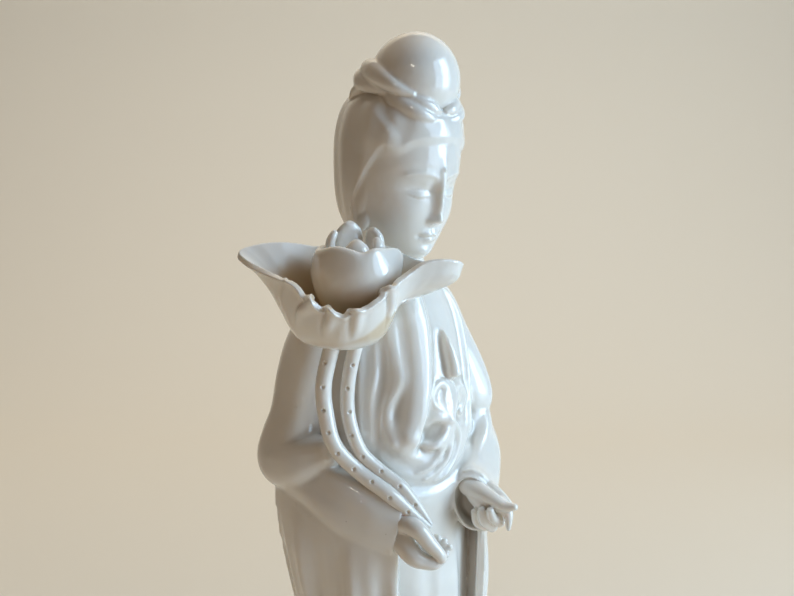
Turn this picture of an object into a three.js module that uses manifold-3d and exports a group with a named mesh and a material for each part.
// Standing guanyin figure in white glazed porcelain. She looks down past a large lotus leaf that rests on
// her right shoulder with a bud in it, holds its two stems in her right hand, and stands on a low oval base.
// The figure, the leaf and the base are luted together before firing, so the whole is one solid.
// Millimetres, +Z up, the front of the figure towards -Y, her right hand towards -X, and the origin in the
// middle of the underside.
import * as THREE from "three";
import { mergeVertices } from "three/addons/utils/BufferGeometryUtils.js";
import Module from "manifold-3d";

const wasm = await Module();
wasm.setup();

// Driving dimensions.
const figureHeight = 400;
const baseHeight = 20;
const baseWidth = 112;
const baseDepth = 96;
const leafThickness = 2.4;
const outerStemRadius = 3.2;
const innerStemRadius = 2.8;
const sleeveWall = 2;

// The carver's canon: a hundredth of the figure's height, measured up from the top of the base.
const part = figureHeight / 100;
const at = (x, y, z) => new THREE.Vector3(x * part, y * part, baseHeight + z * part);

const UP = new THREE.Vector3(0, 0, 1);
const FRONT = new THREE.Vector3(0, -1, 0);
const turn = 2 * Math.PI;
const radians = THREE.MathUtils.degToRad;
const smooth = THREE.MathUtils.smoothstep;
const mix = THREE.MathUtils.lerp;

// Numbers between stations, each a list of numbers, on a smooth curve; t runs from 0 to 1.
function between(stations, t) {
  const place = Math.min(Math.max(t, 0), 1) * (stations.length - 1);
  const i = Math.min(Math.floor(place), stations.length - 2);
  const f = place - i;
  const last = stations.length - 1;
  const [a, b, c, d] = [i - 1, i, i + 1, i + 2].map((k) => stations[Math.min(Math.max(k, 0), last)]);
  return b.map((_, k) => {
    const pull = (c[k] - a[k]) / 2;
    const push = (d[k] - b[k]) / 2;
    const rise = c[k] - b[k];
    return b[k] + f * (pull + f * (3 * rise - 2 * pull - push + f * (pull + push - 2 * rise)));
  });
}

// A closed skin over rings of points, each ring closed over by a fan at the two ends.
function skin(rings) {
  const around = rings[0].length;
  const points = rings.flat();
  const faces = [];
  for (let r = 0; r + 1 < rings.length; r++) {
    for (let i = 0; i < around; i++) {
      const j = (i + 1) % around;
      const [a, b, c, d] = [r * around + i, r * around + j, (r + 1) * around + j, (r + 1) * around + i];
      faces.push(a, b, c, a, c, d);
    }
  }
  for (const [r, flip] of [[0, true], [rings.length - 1, false]]) {
    const middle = points.length;
    points.push(rings[r].reduce((sum, p) => sum.add(p), new THREE.Vector3()).divideScalar(around));
    for (let i = 0; i < around; i++) {
      const [a, b] = [r * around + i, r * around + ((i + 1) % around)];
      faces.push(middle, flip ? b : a, flip ? a : b);
    }
  }
  return new THREE.BufferGeometry().setFromPoints(points).setIndex(faces);
}

// A geometry as a solid, turned right side out.
function solid(geometry) {
  geometry.deleteAttribute("normal");
  geometry.deleteAttribute("uv");
  const welded = mergeVertices(geometry, 1e-4);
  const p = welded.attributes.position.array;
  const triVerts = new Uint32Array(welded.index.array);
  const [a, b, c] = [0, 1, 2].map(() => new THREE.Vector3());
  let volume = 0;
  for (let i = 0; i < triVerts.length; i += 3) {
    [a, b, c].forEach((v, k) => v.fromArray(p, 3 * triVerts[i + k]));
    volume += a.dot(b.cross(c));
  }
  if (volume < 0) triVerts.reverse();
  return new wasm.Manifold(new wasm.Mesh({ numProp: 3, vertProperties: p, triVerts }));
}

// A rod of oval section along stations [x, y, z, halfWidth, halfHeight] in parts. The height lies along the
// given upward direction, and the width across it. An end is round, or has a pocket of the given depth in it,
// and place turns a row's numbers into a point.
function rod(stations, sizes) {
  const { along, around, up = UP, cap = [50], reach = 1, swell = () => 0, pocket = 0, place = at } = sizes;
  const rings = [];
  const step = 1e-3;
  const spot = (t) => {
    const [x, y, z, width, height] = between(stations, t);
    return { middle: place(x, y, z), width: width * part, height: height * part };
  };
  const ring = (t, { grow = 1, slide = 0, inset = 0 } = {}) => {
    const { middle, width, height } = spot(t);
    const ahead = spot(Math.min(t + step, 1)).middle.sub(spot(Math.max(t - step, 0)).middle).normalize();
    const side = ahead.clone().cross(up).normalize();
    const lift = side.clone().cross(ahead);
    return Array.from({ length: around }, (_, i) => {
      const angle = (turn * i) / around;
      const bulge = 1 + swell(t, angle);
      return middle.clone()
        .addScaledVector(ahead, slide)
        .addScaledVector(side, (width * grow - inset) * bulge * Math.cos(angle))
        .addScaledVector(lift, (height * grow - inset) * bulge * Math.sin(angle));
    });
  };
  const closing = (t, sign) => {
    const out = reach * Math.min(spot(t).width, spot(t).height);
    return cap.map(radians).map((a) => ring(t, { grow: Math.cos(a), slide: sign * out * Math.sin(a) }));
  };
  rings.push(...closing(0, -1).reverse());
  for (let k = 0; k <= along; k++) rings.push(ring(k / along));
  if (pocket) rings.push(ring(1, { inset: sleeveWall }), ring(1, { inset: sleeveWall, slide: -pocket }));
  else rings.push(...closing(1, 1));
  return solid(skin(rings));
}

// A ball with three radii in parts, its middle at a point in parts.
function ball([x, y, z], [rx, ry, rz], fineness = 12) {
  const shape = new THREE.SphereGeometry(1, fineness, Math.round(fineness * 0.7));
  shape.rotateX(Math.PI / 2);
  shape.scale(rx * part, ry * part, rz * part);
  shape.translate(...at(x, y, z).toArray());
  return solid(shape);
}

// Drapery is carved by two kinds of fold. A hanging fold runs down the body along [height, bearing] pairs,
// and a swag hangs in a bow between two bearings. Bearings are in degrees from the front, positive
// towards her left, heights and widths in parts. A lean makes one side of the fold steep, like a hem.
const ridge = (q, lean) => Math.exp(-((q / (q > 0 ? 1 - lean : 1 + lean)) ** 2));

function hanging(path, width, rise, lean = 0) {
  return (bearing, z, radius) => {
    const [top, foot] = [path[0][0], path.at(-1)[0]];
    if (z > top || z < foot) return 0;
    let k = 0;
    while (k < path.length - 2 && z < path[k + 1][0]) k++;
    const f = (path[k][0] - z) / (path[k][0] - path[k + 1][0]);
    const middle = mix(path[k][1], path[k + 1][1], smooth(f, 0, 1) * 0.5 + f * 0.5);
    const aside = (((bearing - middle + 540) % 360) - 180) * (Math.PI / 180) * radius;
    const fade = smooth(top - z, 0, (top - foot) * 0.2) * smooth(z - foot, 0, (top - foot) * 0.15);
    return rise * fade * ridge(aside / width, lean);
  };
}

function swag(middle, span, lowest, ends, width, rise, lean = 0) {
  return (bearing, z) => {
    const off = Math.abs(((bearing - middle + 540) % 360) - 180) / span;
    if (off > 1) return 0;
    const line = mix(lowest, ends, off ** 1.8);
    const steep = (1.8 * (ends - lowest) * off ** 0.8) / (span * 0.14);
    return rise * (1 - smooth(off, 0.7, 1)) * ridge((z - line) / Math.hypot(1, steep) / width, lean);
  };
}

const mirrored = (path) => path.map(([z, bearing]) => [z, -bearing]);

// The robe, from the neck down to the hem: [height, forward shift, half width, half depth].
const robeStations = [
  [0, 0, 11.6, 9.2], [3, 0, 11.2, 8.8], [8, 0, 10.1, 7.9], [14, 0, 9.5, 7.3], [22, 0, 9.2, 7.0],
  [32, 0.1, 9.5, 7.2], [41, 0.2, 10.0, 7.4], [49, 0.1, 9.9, 7.5], [55, 0, 9.4, 7.8], [60, -0.2, 8.8, 7.8],
  [65, -0.2, 8.5, 7.4], [70, 0, 8.0, 6.3], [73, 0.2, 6.6, 5.2], [75, 0, 4.6, 4.0], [77, -0.4, 3.3, 3.2],
];
const robeFolds = [
  // The open front: a rounded lapel on her right, its edge steep, folds beside it, and a lapel on her left.
  hanging([[75, -12.5], [72.6, -13], [69.7, -13.6], [65.8, -17.4], [62.9, -21], [60, -25.5], [57.5, -30]],
    1.35, 1.35, 0.4),
  hanging([[74, 40], [70, 37], [65, 33], [61, 30], [58, 24]], 0.9, 0.85, -0.4),
  hanging([[74, 55], [68, 50], [62, 43], [57, 34]], 0.7, 0.7),
  hanging([[72, -34], [67.5, -35], [65, -35], [63, -40], [61.5, -42], [59.2, -40], [57, -42]], 0.75, 0.85),
  hanging([[71, -57], [65, -61], [59, -60], [55, -54]], 0.7, 0.6),
  // Swags under the bow, and the overlap of the upper robe on the skirt.
  swag(-7, 44, 56.6, 61, 0.8, 0.3),
  swag(-12, 62, 53, 57, 1.3, 0.65, 0.5),
  // The skirt between the hanging sleeves.
  hanging([[51, -17], [42, -15], [24, -19], [1, -24]], 1.1, 0.9),
  hanging([[51, -2], [42, -1], [24, 2], [1, 3]], 1.1, 1.0),
  hanging([[50, 14], [42, 15], [24, 19], [1, 25]], 1.0, 0.9),
  hanging([[36, -34], [20, -38], [0.5, -43]], 1.1, 1.15),
  hanging([[36, 36], [20, 40], [0.5, 46]], 1.1, 1.15),
  // The sides and the back: long folds to the hem, and swags of the shawl below the nape.
  ...[70, 104, 140].flatMap((bearing) => {
    const path = [[48 - (bearing % 4) * 3, bearing], [24, bearing + 2], [0.5, bearing * 1.02]];
    return [hanging(path, 1.9, 1.1), hanging(mirrored(path), 1.9, 1.1)];
  }),
  hanging([[44, 180], [20, 178], [0.5, 181]], 1.9, 1.1),
  ...[58.5, 66].map((z) => swag(180, 62, z, z + 5, 1.6, 0.9)),
  swag(180, 92, 53, 57, 1.3, 1.2, 0.6),
];

// A point on the robe, given its measures at a height, or lifted off it.
function draped([z, shift, width, depth], bearing, lift = 0) {
  const a = radians(bearing);
  const radius = Math.hypot(width * Math.sin(a), depth * Math.cos(a));
  const rise = robeFolds.reduce((sum, fold) => sum + fold(bearing, z, radius), lift);
  const grow = 1 + rise / radius;
  return [width * grow * Math.sin(a), shift - depth * grow * Math.cos(a), z];
}

function robe() {
  const [around, along] = [29, 25];
  const rings = [];
  for (let k = 0; k <= along; k++) {
    const row = between(robeStations, k / along);
    rings.push(Array.from({ length: around }, (_, i) => {
      const share = i / around - 0.5;
      const bearing = 360 * (share - 0.08 * Math.sin(turn * share));
      return at(...draped(row, bearing));
    }));
  }
  return solid(skin(rings));
}

// A point on the robe at a bearing and a height.
function onRobe([bearing, z, lift]) {
  const k = robeStations.findIndex((row) => row[0] > z);
  const [low, high] = [robeStations[k - 1], robeStations[k]];
  const f = (z - low[0]) / (high[0] - low[0]);
  return draped(low.map((value, n) => mix(value, high[n], f)), bearing, lift);
}

// Sleeves: [x, y, z, halfWidth, halfHeight]. The upper sleeves end at the elbow in a soft pouch of cloth, and
// the forearms open into a tall mouth.
function sleeves() {
  const leaning = new THREE.Vector3(-0.17, 0.17, 0.97);
  const outwards = new THREE.Vector3(-1, 0, 0);
  const crease = (t, angle) => 0.06 * Math.sin(5 * angle + 7 * t) * smooth(t, 0.1, 0.5) * (1 - t);
  return [
    rod([
      [-4.4, 1.0, 72.8, 2.0, 2.0], [-6.5, 1.7, 70.6, 2.8, 2.8], [-8.0, 2.3, 67.9, 3.1, 3.1],
      [-9.1, 2.7, 64.6, 3.0, 3.0], [-9.85, 3.0, 61.2, 2.8, 2.8], [-10.5, 3.3, 58.7, 3.0, 3.0],
      [-11.0, 3.4, 56.6, 3.15, 2.9], [-11.0, 1.4, 56.5, 2.8, 2.8], [-10.5, -0.5, 57.3, 2.3, 2.4],
      [-10.1, -1.9, 58.0, 1.6, 1.6],
    ], { along: 9, around: 10, up: outwards, cap: [50], reach: 0.6 }),
    rod([
      [4.6, 0.0, 73, 2.1, 2.0], [6.0, -0.5, 71, 2.6, 2.6], [7.4, -1.1, 67.5, 2.7, 2.8],
      [9.0, -2.2, 63.6, 2.6, 2.7], [9.8, -2.8, 60.8, 2.5, 2.6], [9.9, -2.9, 59.4, 2.1, 2.2],
    ], { along: 4, around: 10, up: FRONT, cap: [50], reach: 0.4 }),
    rod([
      [-11.2, 3.9, 55.6, 1.9, 1.8], [-10.9, 0.6, 54.6, 1.9, 2.6], [-9.8, -3.2, 53.0, 1.9, 3.3],
      [-8.2, -6.0, 51.6, 1.95, 3.5], [-6.5, -8.0, 51.0, 2.0, 3.5],
    ], { along: 4, around: 11, pocket: 2.2 * part, swell: crease }),
    rod([
      [8.6, -1.4, 61.4, 1.8, 1.8], [9.7, -2.6, 58.8, 2.3, 2.4], [9.4, -4.3, 55.4, 2.35, 3.0],
      [7.4, -6.0, 52.8, 2.4, 3.25], [5.3, -7.55, 51.6, 2.4, 3.4], [3.3, -9.25, 51.2, 2.15, 3.2],
    ], { along: 5, around: 11, up: leaning, pocket: 2 * part, swell: crease }),
  ];
}

// The long end of a sleeve, a flat bag of cloth that hangs from the forearm almost to the hem. Stations run
// along the arm: [x, y, top, x at foot, y at foot, foot, half thickness at top, half thickness at foot].
function hangingSleeve(stations) {
  const [around, along] = [12, 7];
  const step = 1e-3;
  const rings = [];
  for (let k = 0; k <= along; k++) {
    const t = k / along;
    const [x, y, top, footX, footY, foot, thickTop, thickFoot] = between(stations, t);
    const [before, after] = [between(stations, t - step), between(stations, t + step)];
    const across = new THREE.Vector2(before[1] - after[1], after[0] - before[0]).normalize();
    const drift = new THREE.Vector2(footX - x, footY - y);
    const inward = across.clone().multiplyScalar(drift.dot(across));
    const sideways = drift.sub(inward);
    rings.push(Array.from({ length: around }, (_, i) => {
      const a = (turn * i) / around;
      const h = (1 - Math.cos(a)) / 2;
      const pleat = 0.4 * Math.sin(2.6 * turn * t + 2 * h) * smooth(h, 0.04, 0.3) * smooth(1 - t, 0, 0.2);
      const off = Math.sign(Math.sin(a)) * Math.abs(Math.sin(a)) ** 0.4 * mix(thickTop, thickFoot, h) + pleat;
      const plan = new THREE.Vector2(x, y)
        .addScaledVector(sideways, smooth(h, 0.08, 0.65))
        .addScaledVector(inward, smooth(h, 0.08, 0.8))
        .addScaledVector(across, off);
      return at(plan.x, plan.y, mix(top, foot, h));
    }));
  }
  return solid(skin(rings));
}

function hangingSleeves() {
  return [
    hangingSleeve([
      [-11.7, 4.1, 55.6, -8.9, 2.8, 24, 1.0, 0.6], [-11.0, 1.0, 55.0, -8.2, 0.2, 20, 1.9, 1.1],
      [-9.7, -3.2, 53.4, -7.0, -2.4, 18, 2.0, 1.3], [-8.2, -6.0, 52.0, -6.1, -4.7, 18, 1.9, 1.2],
      [-6.4, -7.95, 50.2, -4.8, -6.6, 20, 1.5, 0.8],
    ]),
    hangingSleeve([
      [10.3, -0.6, 58, 7.2, 0.4, 24, 1.2, 0.6], [10.0, -2.8, 57, 7.2, -1.4, 20, 1.6, 0.9],
      [8.9, -4.9, 54.0, 7.1, -3.4, 18, 1.5, 0.8], [7.3, -6.6, 51, 6.7, -5.4, 18, 1.2, 0.6],
      [5.3, -8.6, 49.2, 5.5, -8.1, 20, 0.6, 0.5],
    ]),
  ];
}

// Hands in parts. Her right hand is closed, with the thumb and forefinger brought together under the stems'
// ends. Her left is held out, thumb and forefinger extended and the other fingers curled back.
function hands() {
  const sideways = new THREE.Vector3(1, 0, 0);
  const palm = (stations) => rod(stations, { along: 4, around: 8 });
  const finger = (points, thick, thin) => {
    const stations = points.map((p, i) => {
      const r = mix(thick, thin, i / (points.length - 1));
      return [...p, r, r];
    });
    return rod(stations, { along: 2, around: 5, up: sideways });
  };
  const rightTips = [
    [[-4.6, -10.2, 49.2], [-4.4, -11.4, 50.1]], [[-4.5, -10.4, 48.9], [-3.9, -11.8, 49.7]],
    [[-4.4, -10.6, 48.6], [-3.6, -12.2, 49.1]], [[-4.4, -11.0, 48.2], [-4.1, -12.2, 48.5]],
  ];
  const leftCurls = [
    [[4.2, -10.0, 48.8], [3.1, -10.0, 49.5], [2.7, -10.0, 50.6]],
    [[4.4, -10.9, 48.9], [3.1, -10.9, 49.8], [2.7, -10.9, 51.0]],
    [[4.5, -11.8, 49.6], [3.4, -11.8, 50.3], [3.0, -11.8, 51.1]],
  ];
  return [
    palm([[-8.0, -4.8, 51.8, 0.9, 1.3], [-6.6, -6.4, 50.8, 1.4, 1.9], [-6.4, -7.7, 50.5, 1.5, 2.2],
      [-6.2, -8.7, 50.1, 1.4, 2.1], [-5.6, -9.6, 49.4, 1.0, 1.6], [-4.9, -10.4, 48.6, 0.8, 1.0]]),
    finger([[-6.9, -7.8, 51.2], [-6.85, -9.4, 51.6], [-6.6, -10.9, 51.2], [-5.9, -11.8, 49.9],
      [-4.95, -12.5, 48.4]], 1.15, 0.5),
    finger([[-6.6, -7.9, 50.1], [-6.85, -9.35, 49.4], [-6.1, -11.1, 48.05], [-4.95, -12.2, 48.0]], 1.35, 0.45),
    ...rightTips.map((points) => finger(points, 0.6, 0.4)),
    palm([[7.6, -5.4, 53.2, 0.8, 1.0], [6.0, -6.8, 52.5, 1.0, 1.1], [4.3, -8.4, 52.3, 1.1, 1.1],
      [3.8, -9.7, 51.9, 1.1, 1.2], [4.2, -10.8, 50.9, 0.9, 1.1], [4.6, -11.6, 50.4, 0.7, 0.8]]),
    finger([[4.1, -8.6, 52.2], [3.5, -10.4, 52.3], [4.1, -12.6, 51.6], [4.5, -13.7, 51.6]], 1.0, 0.4),
    finger([[4.7, -8.8, 52.4], [4.8, -10.6, 52.6], [5.0, -12.5, 51.6]], 0.85, 0.42),
    finger([[4.4, -11.9, 51.5], [4.6, -12.8, 50.7], [4.4, -13.1, 49.2]], 0.9, 0.24),
    ...leftCurls.map((points) => finger(points, 0.62, 0.45)),
  ];
}

// The head in its own frame: parts from its middle, tilted forward as she looks down.
const headMiddle = at(0, -1.5, 85.2);
const headTilt = radians(16);
const bow = (shape) => {
  shape.rotateX(headTilt);
  shape.translate(...headMiddle.toArray());
  return shape;
};
const own = (x, y, z) => new THREE.Vector3(x * part, y * part, z * part);
const bowed = (v) => v.applyAxisAngle(new THREE.Vector3(1, 0, 0), headTilt).add(headMiddle);
// [height, half width, depth in front, depth behind]
const headStations = [
  [-7.9, 1.2, 4.0, 1.0], [-7.3, 2.9, 5.3, 3.6], [-5.8, 4.2, 5.9, 5.4], [-3.6, 5.2, 6.1, 6.5],
  [-0.5, 5.8, 6.1, 7.1], [2.6, 5.9, 6.0, 7.6], [5.2, 5.5, 5.4, 7.5], [7.0, 4.7, 4.6, 6.2], [8.1, 2.8, 2.9, 3.8],
];
// The face's relief in front: height above the smooth head at (x, z), all in parts.
function faceRelief(x, z) {
  const dome = (cx, cz, rx, rz, rise) => rise * Math.exp(-(((x - cx) / rx) ** 2) - ((z - cz) / rz) ** 2);
  const both = (cx, ...rest) => dome(cx, ...rest) + dome(-cx, ...rest);
  return dome(0, -1.9, 0.75, 1.0, 0.95) + dome(0, -0.2, 0.5, 1.7, 0.5) + both(2.2, 0.5, 1.2, 0.75, -0.35)
    + dome(0, -4.0, 1.1, 0.5, 0.28) + dome(0, -6.1, 1.2, 0.8, 0.25) + both(2.6, -2.8, 1.6, 1.5, 0.2)
    + both(1.9, 2.0, 1.6, 0.5, 0.15);
}
// Where the hair meets the face, by bearing from the front: a low arch over the brow, then behind the ear.
const hairline = (bearing) => {
  const off = Math.abs(bearing);
  return off < 62 ? mix(5.1, 3.5, (off / 62) ** 2) : mix(3.5, -7.2, smooth(off, 62, 112));
};

function head() {
  const [around, along] = [24, 15];
  const rings = [];
  for (let k = 0; k <= along; k++) {
    const [z, width, fore, aft] = between(headStations, k / along);
    rings.push(Array.from({ length: around }, (_, i) => {
      const share = i / around - 0.5;
      const bearing = 360 * (share - 0.07 * Math.sin(turn * share));
      const a = radians(bearing);
      const depth = Math.cos(a) > 0 ? fore : aft;
      const hair = 0.42 * smooth(z - hairline(bearing), -0.5, 0.5);
      const face = Math.cos(a) > 0 ? faceRelief(width * Math.sin(a), z) * smooth(Math.cos(a), 0.2, 0.7) : 0;
      const grow = 1 + (hair + face) / Math.hypot(width * Math.sin(a), depth * Math.cos(a));
      return own(width * grow * Math.sin(a), -depth * grow * Math.cos(a), z);
    }));
  }
  const ears = [-1, 1].map((s) => {
    const shape = new THREE.SphereGeometry(1, 8, 6);
    shape.rotateX(Math.PI / 2);
    shape.scale(0.45 * part, 1.35 * part, 4.2 * part);
    shape.translate(...own(s * 5.75, -0.9, -1.2).toArray());
    return solid(bow(shape));
  });
  const neck = rod([[0, 0.4, 74, 3.4, 3.4], [0, -0.1, 77, 3.0, 3.0], [0, -0.6, 81, 3.2, 3.2]],
    { along: 2, around: 12, up: FRONT, cap: [] });
  return [solid(bow(skin(rings))), neck, ...ears];
}

// The topknot: an egg of drawn-up hair with locks wound round its foot and combed over the brow.
function topknot() {
  const egg = new THREE.SphereGeometry(1, 13, 9);
  egg.rotateX(Math.PI / 2);
  const p = egg.attributes.position;
  for (let i = 0; i < p.count; i++) {
    const z = p.getZ(i);
    const full = (1 - 0.05 * Math.max(z, 0)) * part;
    p.setXYZ(i, p.getX(i) * full * 4.5, (p.getY(i) * 4.6 + 0.3) * full, (z * 4.6 + 9.75) * part);
  }
  const locks = [
    [[-1.6, 5.0, 9.4, 0.5, 0.7], [-3.3, 4.2, 9.6, 0.75, 1.0], [-4.7, 0.9, 9.6, 0.65, 0.9],
      [-4.65, -0.6, 9.4, 0.5, 0.65], [-3.95, -2.4, 9.1, 0.2, 0.2]],
    [[-2.0, 5.2, 8.9, 0.5, 0.7], [-4.1, 3.6, 8.5, 0.65, 0.9], [-4.3, 0.8, 8.4, 0.35, 0.45],
      [-4.1, -0.4, 8.4, 0.2, 0.2]],
  ];
  const up = bowed(own(0, 0, 1)).sub(bowed(own(0, 0, 0))).normalize();
  const place = (x, y, z) => bowed(own(x, y, z));
  const lock = (path, side) =>
    rod(path.map(([x, ...rest]) => [x * side, ...rest]), { along: 4, around: 5, up, place });
  return [solid(bow(egg)), ...locks.flatMap((path) => [lock(path, 1), lock(path, -1)])];
}

// A round cord of changing radius along a curve, with closed ends.
function cordOf(curve, radiusAt, along, around) {
  const frames = curve.computeFrenetFrames(along);
  const rings = [];
  const ring = (k, radius, slide) => Array.from({ length: around }, (_, i) => {
    const a = (turn * i) / around;
    return curve.getPointAt(k / along)
      .addScaledVector(frames.tangents[k], slide)
      .addScaledVector(frames.normals[k], radius * Math.cos(a))
      .addScaledVector(frames.binormals[k], radius * Math.sin(a));
  });
  rings.push(ring(0, radiusAt(0) * 0.6, -radiusAt(0) * 0.8));
  for (let k = 0; k <= along; k++) rings.push(ring(k, radiusAt(k / along), 0));
  rings.push(ring(along, radiusAt(1) * 0.6, radiusAt(1) * 0.8));
  return solid(skin(rings));
}

// The lotus leaf: a deep scoop round the bud whose rim runs out into two long tips. Its own axes are
// along the tips, outward from the body, and up; the leaf's foot is at leafFoot.
const leafFoot = at(-11.3, -5.1, 68.8);
const alongTips = new THREE.Vector3(1, -1, 0).normalize();
const outward = new THREE.Vector3(-1, -1, 0).normalize();
const onLeaf = (u, w, h) => leafFoot.clone()
  .addScaledVector(alongTips, u * part)
  .addScaledVector(outward, w * part)
  .addScaledVector(UP, h * part);

// [bearing, reach, height] round the rim: 0 at the tip by the chest, 90 outward, 180 at the other tip.
const leafRim = [
  [0, 11.2, 8.3], [4, 10.9, 8.6], [8, 10.1, 8.8], [12, 9.0, 8.85], [17, 7.9, 8.6], [23, 7.1, 7.95],
  [30, 6.7, 7.45], [38, 6.55, 7.0], [51, 6.45, 6.15], [65, 6.5, 5.1], [85, 6.35, 4.5], [100, 6.05, 4.9],
  [117, 5.85, 5.8], [131, 5.9, 6.95], [147, 6.2, 7.35], [159, 6.7, 7.6], [168, 7.4, 7.9], [175, 8.6, 8.4],
  [181, 9.5, 9.05], [186, 9.2, 9.5], [194, 7.9, 9.85], [206, 6.6, 9.95], [220, 5.9, 9.75], [240, 5.4, 9.5],
  [270, 5.2, 9.4], [300, 5.5, 9.3], [330, 6.3, 9.0], [338, 6.9, 8.65], [345, 8.0, 8.3], [351, 9.6, 8.35],
  [356, 10.8, 8.4], [360, 11.2, 8.3],
];
// [reach, height] up the wall, as shares of the bowl.
const leafWall = [[0, 0], [0.42, 0.03], [0.62, 0.12], [0.76, 0.3], [0.87, 0.52], [0.95, 0.76], [1, 1]];
// Tucks pinched from the rim down the outer wall: [bearing, depth].
const tucks = [[49, 0.5], [79, 0.5], [98, 0.6], [113, 0.6], [141, 0.3]];

function rimAt(bearing) {
  const k = leafRim.findIndex((row) => row[0] > bearing);
  const f = (bearing - leafRim[k - 1][0]) / (leafRim[k][0] - leafRim[k - 1][0]);
  return between(leafRim.map(([, reach, height]) => [reach, height]), (k - 1 + f) / (leafRim.length - 1));
}

// A point of the leaf's sheet at a bearing; t runs from the foot to the rim.
function leafPoint(bearing, t) {
  const a = radians(bearing);
  const [c, s] = [Math.cos(a), Math.sin(a)];
  const [reach, height] = rimAt((bearing + 360) % 360);
  const bowl = Math.min(reach, mix(5.4, 6.3, smooth(s, -0.1, 0.25)));
  const [share, climb] = between(leafWall, t);
  const fromTip = ((bearing + 180) % 360) - 180;
  const spout = Math.exp(-((fromTip / 30) ** 4));
  const flare = mix((Math.max(t - 0.55, 0) / 0.45) ** 1.7, smooth(t, 0.6, 0.9), spout);
  const tuck = tucks.reduce((sum, [b, depth]) => sum + depth * Math.exp(-(((bearing - b) / 2.5) ** 2)), 0);
  const radius = bowl * share + (reach - bowl) * flare - 0.9 * tuck * t ** 3;
  return onLeaf(radius * c, radius * s, 0.7 + (height - 0.7) * climb);
}

function leaf() {
  const along = 4;
  const plain = [0, 6, 12, 20, 31, 62, 127, 151, 160, 168, 175, 181, 187, 196, 212, 240, 272, 304, 330, 346,
    355];
  const bearings = [...plain, ...tucks.flatMap(([b]) => [b - 5, b, b + 5])].sort((a, b) => a - b);
  const sheet = (t, side) => bearings.map((a) => {
    const step = 0.02;
    const round = leafPoint(a + 1, t).sub(leafPoint(a - 1, t));
    const rise = leafPoint(a, Math.min(t + step, 1)).sub(leafPoint(a, t - step));
    return leafPoint(a, t).addScaledVector(round.cross(rise).normalize(), (side * leafThickness) / 2);
  });
  const steps = Array.from({ length: along + 1 }, (_, k) => 0.12 + (0.88 * k) / along);
  return solid(skin([...steps.map((t) => sheet(t, 1)), ...steps.reverse().map((t) => sheet(t, -1))]));
}

// The bud: a round cup with a thick wavy lip, and five pointed petals standing in it.
function bud() {
  const around = 13;
  const profile = [
    [1.0, 1.4], [2.8, 2.4], [5.0, 3.65], [7.4, 4.3], [9.0, 4.25], [9.6, 3.8], [9.3, 3.2], [8.1, 2.0],
  ];
  const rings = profile.map(([h, r]) => Array.from({ length: around }, (_, i) => {
    const a = (turn * i) / around;
    const wave = (0.1 * Math.cos(4 * a - 2.3) + 0.45 * Math.max(Math.sin(a), 0)) * smooth(h, 7.2, 9.4);
    return onLeaf(1.5 + r * Math.cos(a), r * Math.sin(a), h + wave);
  }));
  // [bearing, reach, height, half width]
  const petals = [
    [186, 2.3, 11.35, 0.75], [248, 2.1, 12.05, 1.15], [318, 2.3, 11.5, 1.15], [30, 2.5, 10.8, 0.8],
    [100, 2.2, 10.85, 1.3],
  ];
  const blades = petals.map(([bearing, reach, height, wide]) => {
    const [c, s] = [Math.cos(radians(bearing)), Math.sin(radians(bearing))];
    const spine = [[reach - 0.3, 7.8], [reach + 0.1, 8.8], [reach + 0.15, height - 1.2], [reach - 0.4, height]];
    const points = spine.map(([r, h]) => onLeaf(1.5 + r * c, r * s, h));
    const out = alongTips.clone().multiplyScalar(c).addScaledVector(outward, s);
    return petal(points, [0.9, 1.05, 1.0, 0.3].map((share) => share * wide), out);
  });
  return [solid(skin(rings)), ...blades];
}

// A petal: a curved blade through the given points, wide across the outward direction, hollow inside.
function petal(points, widths, out) {
  const curve = new THREE.CatmullRomCurve3(points);
  const [around, along] = [6, 3];
  const rings = [];
  for (let k = 0; k <= along; k++) {
    const t = k / along;
    const width = between(widths.map((w) => [w]), t)[0] * part;
    const ahead = curve.getTangent(t);
    const side = ahead.clone().cross(out).normalize();
    const lift = side.clone().cross(ahead);
    rings.push(Array.from({ length: around }, (_, i) => {
      const a = (turn * i) / around;
      const thick = 0.4 * width * Math.sin(a) - 0.3 * width * Math.cos(a) ** 2;
      return curve.getPoint(t).addScaledVector(side, width * Math.cos(a)).addScaledVector(lift, thick);
    }));
  }
  return solid(skin(rings));
}

// Two stems, side by side from under the leaf down to her right hand, where they run together.
function stems() {
  const paths = [
    [[-11.0, -3.7, 69.5], [-11.9, -3.3, 65.5], [-11.8, -3.4, 62.5], [-11.2, -4.0, 59.2], [-9.6, -5.6, 56.7],
      [-7.9, -8.0, 54.6], [-6.2, -9.9, 52.4], [-5.2, -11.1, 51.2]],
    [[-9.3, -5.2, 69.5], [-9.9, -4.6, 65.5], [-9.9, -4.6, 62], [-9.2, -5.4, 58.7], [-8.0, -6.7, 56.8],
      [-6.6, -8.5, 55.0], [-5.5, -10.0, 52.8], [-5.0, -11.0, 51.4]],
  ];
  const radii = [outerStemRadius, innerStemRadius];
  return paths.map((path, n) => {
    const curve = new THREE.CatmullRomCurve3(path.map((q) => at(...q)));
    return cordOf(curve, (t) => radii[n] * mix(1, 0.4, smooth(t, 0.72, 1)), 11, 6);
  });
}

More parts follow.
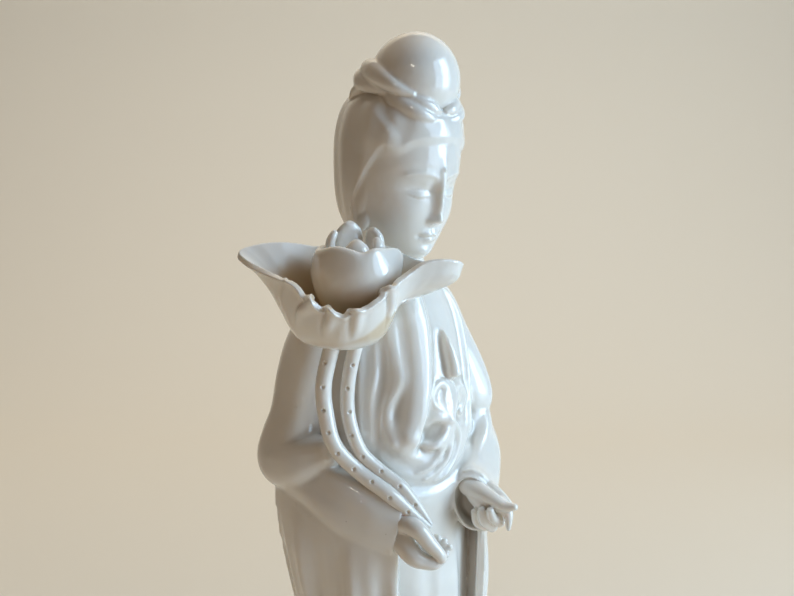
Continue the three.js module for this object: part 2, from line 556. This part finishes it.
// The sash tied over the robe: an upright end, two loops, a knot and curling ends. Each row of a path is
// [bearing, height, lift off the robe].
function sash() {
  const ribbon = (path, thick) =>
    cordOf(new THREE.CatmullRomCurve3(path.map((row) => at(...onRobe(row)))), () => thick * part, 4, 4);
  return [
    rod([[1.15, -6.6, 69.3, 0.3, 0.4], [1.2, -7.2, 67.9, 0.6, 0.85], [1.5, -8.0, 64.9, 0.85, 0.95]],
      { along: 2, around: 6, up: FRONT, reach: 0.3 }),
    ribbon([[4, 60.8, 0.3], [-9, 62.4, 0.1], [-9.5, 63.6, 0.1], [-2, 64.3, 0.15], [4, 63.6, 0.2]], 0.42),
    ribbon([[6, 60.8, 0.35], [17, 63.4, 0.1], [24, 63.2, 0.1], [26, 62, 0.1], [17, 60.9, 0.2]], 0.42),
    ball(onRobe([4.6, 60.5, 0.1]), [0.85, 0.75, 0.7], 6),
    ribbon([[3.4, 60.3, 0.2], [-3, 60.9, 0.25], [-13.5, 60.2, 0.15]], 0.42),
    ribbon([[3.5, 60.2, 0.2], [-5, 57, 0.15], [-18, 55.7, 0]], 0.42),
    ribbon([[7.5, 60.2, 0.2], [14, 57.9, 0.1], [9, 56.2, 0.1], [-6, 54.5, 0]], 0.42),
  ];
}

// The low oval base with a softly rounded edge, and her two feet under the hem.
function base() {
  const around = 24;
  const profile = [[0, 0.96], [0.08, 1], [0.5, 0.99], [0.85, 0.94], [1, 0.82]];
  const rings = profile.map(([h, share]) => Array.from({ length: around }, (_, i) => {
    const a = (turn * i) / around;
    return new THREE.Vector3(
      (baseWidth / 2) * share * Math.cos(a),
      (baseDepth / 2) * share * Math.sin(a),
      baseHeight * h,
    );
  }));
  const feet = [[-2.8, -8.4], [2.9, -8.6]].map(([x, y]) => ball([x, y, 0.9], [1.7, 2.6, 1.5], 8));
  return [solid(skin(rings)), ...feet];
}

const pieces = [
  ...base(), robe(), ...sleeves(), ...hangingSleeves(), ...hands(), ...head(), ...topknot(), leaf(), ...bud(),
  ...stems(), ...sash(),
];
const figure = pieces.reduce((whole, piece) => whole.add(piece));

const mesh = figure.getMesh();
const geometry = new THREE.BufferGeometry();
geometry.setAttribute("position", new THREE.BufferAttribute(new Float32Array(mesh.vertProperties), 3));
geometry.setIndex(Array.from(mesh.triVerts));
const porcelain = new THREE.MeshStandardMaterial({ color: 0xdfe3e2, roughness: 0.12, metalness: 0 });

const group = new THREE.Group();
const guanyin = new THREE.Mesh(geometry, porcelain);
guanyin.name = "guanyin_figure";
group.add(guanyin);
export default group;
